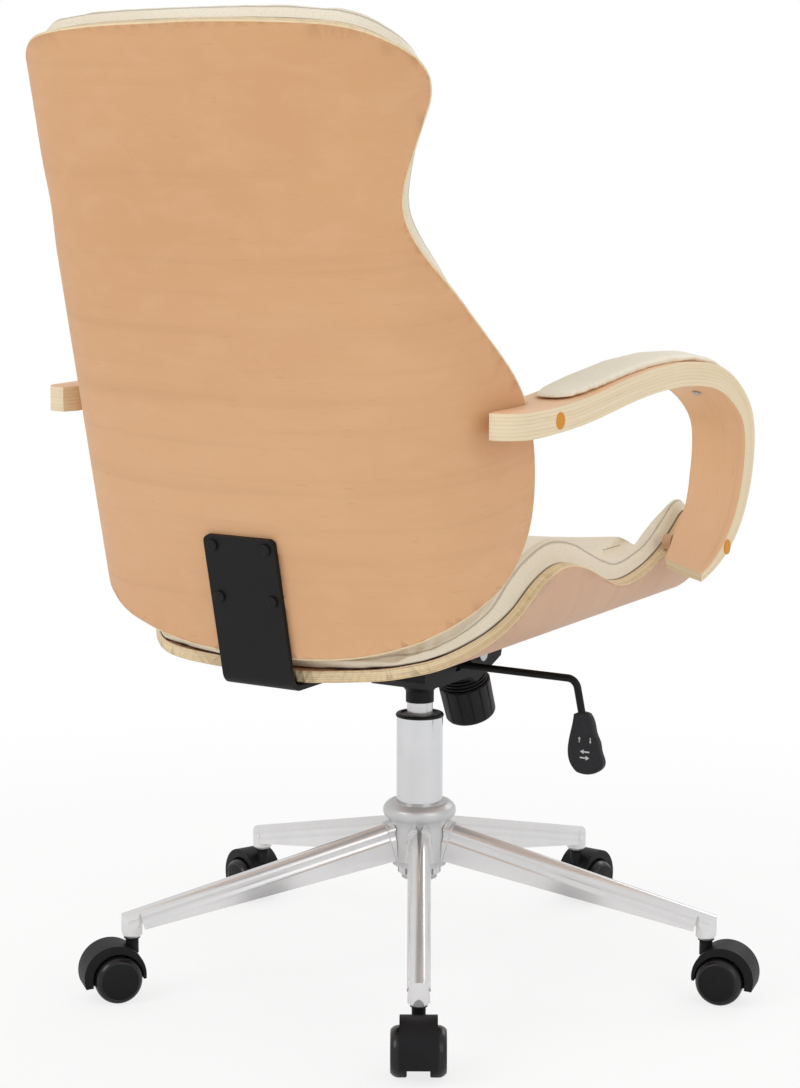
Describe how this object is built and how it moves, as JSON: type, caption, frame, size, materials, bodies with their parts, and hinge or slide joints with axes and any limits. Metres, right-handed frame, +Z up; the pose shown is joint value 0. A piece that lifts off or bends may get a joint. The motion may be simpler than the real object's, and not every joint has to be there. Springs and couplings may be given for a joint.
{
  "type": "office armchair",
  "caption": "Swivel office armchair with bent plywood shells, padded seat and back, looped wooden arms, tilt lever and a star base on twin wheel casters.",
  "frame": {"origin": "on the floor, on the axis of the gas column", "axes": "+Z up; the sitter faces -Y; +X is the sitter's left; the control lever is on the sitter's right"},
  "size_m": [0.7187, 0.8071, 1.0021],
  "materials": {
    "chrome": "polished",
    "zinc": "zinc plated",
    "black_plastic": "satin",
    "black_steel": "satin black powder coat",
    "wheel": "satin",
    "plywood": "clear lacquered beech",
    "plug": "lacquered",
    "leather": "soft cream"
  },
  "bodies": {
    "base": {"base_hub": "chrome", "base_leg_1": "chrome", "base_leg_2": "chrome", "base_leg_3": "chrome", "base_leg_4": "chrome", "base_leg_5": "chrome", "gas_tube": "chrome", "tube_ring": "black_plastic", "gas_rod": "zinc", "tube_clip": "zinc"},
    "column": {"gas_piston": "chrome", "release_pin": "zinc"},
    "mechanism": {"mechanism_housing": "black_steel", "tilt_pin": "zinc", "spring_cup": "black_plastic"},
    "knob": {"tension_knob": "black_plastic"},
    "lever_pivot": {"lever_bush": "black_plastic"},
    "lever": {"lever_rod": "black_steel", "lever_paddle": "black_plastic"},
    "seat": {"seat_plate": "black_steel", "seat_bolts": "zinc", "seat_shell": "plywood", "back_shell": "plywood", "seat_cushion": "leather", "back_cushion": "leather", "back_bracket": "black_steel", "bracket_screws": "black_steel", "arm_left": "plywood", "arm_right": "plywood", "arm_pad_left": "leather", "arm_pad_right": "leather", "arm_plugs": "plug", "arm_bolts": "zinc", "pad_screws": "zinc"},
    "caster_1": {"caster_body_1": "black_plastic", "caster_stem_1": "zinc", "caster_axle_1": "zinc"},
    "wheel_left_1": {"wheel_a_1": "wheel"},
    "wheel_right_1": {"wheel_b_1": "wheel"},
    "caster_2": {"caster_body_2": "black_plastic", "caster_stem_2": "zinc", "caster_axle_2": "zinc"},
    "wheel_left_2": {"wheel_a_2": "wheel"},
    "wheel_right_2": {"wheel_b_2": "wheel"},
    "caster_3": {"caster_body_3": "black_plastic", "caster_stem_3": "zinc", "caster_axle_3": "zinc"},
    "wheel_left_3": {"wheel_a_3": "wheel"},
    "wheel_right_3": {"wheel_b_3": "wheel"},
    "caster_4": {"caster_body_4": "black_plastic", "caster_stem_4": "zinc", "caster_axle_4": "zinc"},
    "wheel_left_4": {"wheel_a_4": "wheel"},
    "wheel_right_4": {"wheel_b_4": "wheel"},
    "caster_5": {"caster_body_5": "black_plastic", "caster_stem_5": "zinc", "caster_axle_5": "zinc"},
    "wheel_left_5": {"wheel_a_5": "wheel"},
    "wheel_right_5": {"wheel_b_5": "wheel"}
  },
  "joints": [
    {"name": "height_lift", "type": "slide", "parent": "base", "child": "column", "axis": [0, 0, 1], "range_m": [0, 0.1]},
    {"name": "seat_swivel", "type": "hinge", "parent": "column", "child": "mechanism", "pos_m": [0, 0, 0.31], "axis": [0, 0, 1], "continuous": true},
    {"name": "seat_tilt", "type": "hinge", "parent": "mechanism", "child": "seat", "pos_m": [0, -0.062, 0.345], "axis": [-1, 0, 0], "range_deg": [0, 12], "stiffness_Nm_per_rad": 200, "springref_deg": -20.05},
    {"name": "tension_turn", "type": "hinge", "parent": "mechanism", "child": "knob", "pos_m": [0, -0.109, 0.265], "axis": [0, 0.3746, 0.9272], "range_deg": [-720, 720]},
    {"name": "lever_lift", "type": "hinge", "parent": "mechanism", "child": "lever_pivot", "pos_m": [-0.028, -0.02, 0.339], "axis": [0, 1, 0], "range_deg": [0, 6], "stiffness_Nm_per_rad": 1.5, "springref_deg": -11.46},
    {"name": "tilt_lock", "type": "slide", "parent": "lever_pivot", "child": "lever", "axis": [-1, 0, 0], "range_m": [0, 0.01]},
    {"name": "caster_swivel_1", "type": "hinge", "parent": "base", "child": "caster_1", "pos_m": [-0.16773, 0.27052, 0.07], "axis": [0, 0, 1], "continuous": true},
    {"name": "wheel_spin_left_1", "type": "hinge", "parent": "caster_1", "child": "wheel_left_1", "pos_m": [-0.17748, 0.28624, 0.025], "axis": [-0.8499, -0.527, 0], "continuous": true},
    {"name": "wheel_spin_right_1", "type": "hinge", "parent": "caster_1", "child": "wheel_right_1", "pos_m": [-0.17748, 0.28624, 0.025], "axis": [-0.8499, -0.527, 0], "continuous": true},
    {"name": "caster_swivel_2", "type": "hinge", "parent": "base", "child": "caster_2", "pos_m": [-0.30911, -0.07593, 0.07], "axis": [0, 0, 1], "continuous": true},
    {"name": "wheel_spin_left_2", "type": "hinge", "parent": "caster_2", "child": "wheel_left_2", "pos_m": [-0.32708, -0.08034, 0.025], "axis": [0.2385, -0.9711, 0], "continuous": true},
    {"name": "wheel_spin_right_2", "type": "hinge", "parent": "caster_2", "child": "wheel_right_2", "pos_m": [-0.32708, -0.08034, 0.025], "axis": [0.2385, -0.9711, 0], "continuous": true},
    {"name": "caster_swivel_3", "type": "hinge", "parent": "base", "child": "caster_3", "pos_m": [-0.02331, -0.31744, 0.07], "axis": [0, 0, 1], "continuous": true},
    {"name": "wheel_spin_left_3", "type": "hinge", "parent": "caster_3", "child": "wheel_left_3", "pos_m": [-0.02467, -0.3359, 0.025], "axis": [0.9973, -0.0732, 0], "continuous": true},
    {"name": "wheel_spin_right_3", "type": "hinge", "parent": "caster_3", "child": "wheel_right_3", "pos_m": [-0.02467, -0.3359, 0.025], "axis": [0.9973, -0.0732, 0], "continuous": true},
    {"name": "caster_swivel_4", "type": "hinge", "parent": "base", "child": "caster_4", "pos_m": [0.2947, -0.12027, 0.07], "axis": [0, 0, 1], "continuous": true},
    {"name": "wheel_spin_left_4", "type": "hinge", "parent": "caster_4", "child": "wheel_left_4", "pos_m": [0.31183, -0.12726, 0.025], "axis": [0.3778, 0.9259, 0], "continuous": true},
    {"name": "wheel_spin_right_4", "type": "hinge", "parent": "caster_4", "child": "wheel_right_4", "pos_m": [0.31183, -0.12726, 0.025], "axis": [0.3778, 0.9259, 0], "continuous": true},
    {"name": "caster_swivel_5", "type": "hinge", "parent": "base", "child": "caster_5", "pos_m": [0.20545, 0.24312, 0.07], "axis": [0, 0, 1], "continuous": true},
    {"name": "wheel_spin_left_5", "type": "hinge", "parent": "caster_5", "child": "wheel_left_5", "pos_m": [0.21739, 0.25725, 0.025], "axis": [-0.7638, 0.6455, 0], "continuous": true},
    {"name": "wheel_spin_right_5", "type": "hinge", "parent": "caster_5", "child": "wheel_right_5", "pos_m": [0.21739, 0.25725, 0.025], "axis": [-0.7638, 0.6455, 0], "continuous": true}
  ]
}
